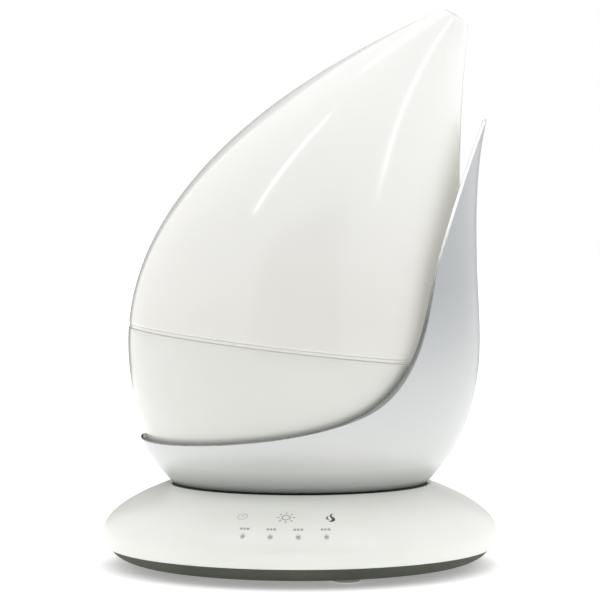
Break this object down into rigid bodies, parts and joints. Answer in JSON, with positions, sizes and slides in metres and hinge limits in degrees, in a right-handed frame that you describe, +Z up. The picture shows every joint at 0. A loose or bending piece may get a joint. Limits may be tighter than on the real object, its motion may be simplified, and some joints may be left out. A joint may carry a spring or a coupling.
{
  "type": "cool mist humidifier",
  "caption": "Bud-shaped translucent water tank on a bowl-shaped body wrapped by a tall grey petal, on a domed round base with touch controls; mist leaves the pointed tip.",
  "frame": {"origin": "on the floor under the centre of the round base", "axes": "+Z up, -Y out of the front where the touch controls are, +X towards the petal and the mist outlet"},
  "size_m": [0.24, 0.24, 0.3363],
  "materials": {
    "tank_plastic": "translucent milky gloss",
    "white_gloss": "gloss",
    "petal_grey": "satin silver grey",
    "base_white": "satin",
    "pan_grey": "matte",
    "inner_white": "matte",
    "clear_plastic": "clear",
    "silicone": "satin",
    "black_rubber": "matte",
    "black_plastic": "matte",
    "circuit_board": "solder mask",
    "steel": "zinc plated",
    "bare_aluminium": "bare",
    "ceramic": "fired ceramic",
    "foam": "closed-cell foam",
    "magnet": "bare"
  },
  "bodies": {
    "body": {"base_cover": "base_white", "base_pan": "pan_grey", "rubber_foot_1": "black_rubber", "rubber_foot_2": "black_rubber", "rubber_foot_3": "black_rubber", "rubber_foot_4": "black_rubber", "base_screw_1": "steel", "base_screw_2": "steel", "base_screw_3": "steel", "indicator_lens_1": "clear_plastic", "indicator_lens_2": "clear_plastic", "indicator_lens_3": "clear_plastic", "indicator_lens_4": "clear_plastic", "touch_board": "circuit_board", "touch_pad_1": "black_rubber", "touch_pad_2": "black_rubber", "touch_pad_3": "black_rubber", "air_filter": "black_plastic", "power_socket": "black_plastic", "socket_pin": "steel", "power_board": "circuit_board", "petal": "petal_grey", "front_shell": "white_gloss", "body_floor": "inner_white", "foot_gasket": "black_rubber", "body_screw_1": "steel", "body_screw_2": "steel", "body_screw_3": "steel", "basin": "inner_white", "atomizer_gasket": "silicone", "atomizer_disc": "ceramic", "atomizer_clamp": "bare_aluminium", "clamp_screw_1": "steel", "clamp_screw_2": "steel", "clamp_screw_3": "steel", "driver_board": "circuit_board", "heat_sink": "bare_aluminium", "fan_frame": "black_plastic", "air_duct": "inner_white", "air_tower": "inner_white", "splash_cap": "inner_white", "light_window": "clear_plastic", "light_board": "circuit_board", "float_clip": "inner_white", "reed_switch": "clear_plastic"},
    "tank": {"tank_shell": "tank_plastic", "tank_floor": "tank_plastic", "filler_neck": "tank_plastic", "mist_collar": "tank_plastic", "mist_tube": "tank_plastic", "mist_nozzle": "tank_plastic"},
    "cap": {"filler_cap": "white_gloss", "cap_gasket": "silicone", "valve_cage": "inner_white", "valve_spring": "steel"},
    "valve": {"valve_stem": "inner_white", "valve_seal": "silicone"},
    "float": {"float_ring": "foam", "float_magnet": "magnet"},
    "fan": {"fan_rotor": "black_plastic"}
  },
  "joints": [
    {"name": "tank_lift", "type": "slide", "parent": "body", "child": "tank", "axis": [0, 0, 1], "range_m": [0, 0.17]},
    {"name": "cap_turn", "type": "hinge", "parent": "tank", "child": "cap", "pos_m": [-0.042, 0, 0.1], "axis": [0, 0, 1], "range_deg": [0, 90]},
    {"name": "valve_close", "type": "slide", "parent": "cap", "child": "valve", "axis": [0, 0, 1], "range_m": [-0.004, 0], "deforming": ["valve_spring"]},
    {"name": "float_rise", "type": "slide", "parent": "body", "child": "float", "axis": [0, 0, 1], "range_m": [0, 0.008]},
    {"name": "fan_spin", "type": "hinge", "parent": "body", "child": "fan", "pos_m": [0, 0.038, 0.058], "axis": [0, 0, 1], "continuous": true}
  ],
  "couplings": [
    {"joint": "valve_close", "follows": "tank_lift", "ratio": -0.023529}
  ]
}
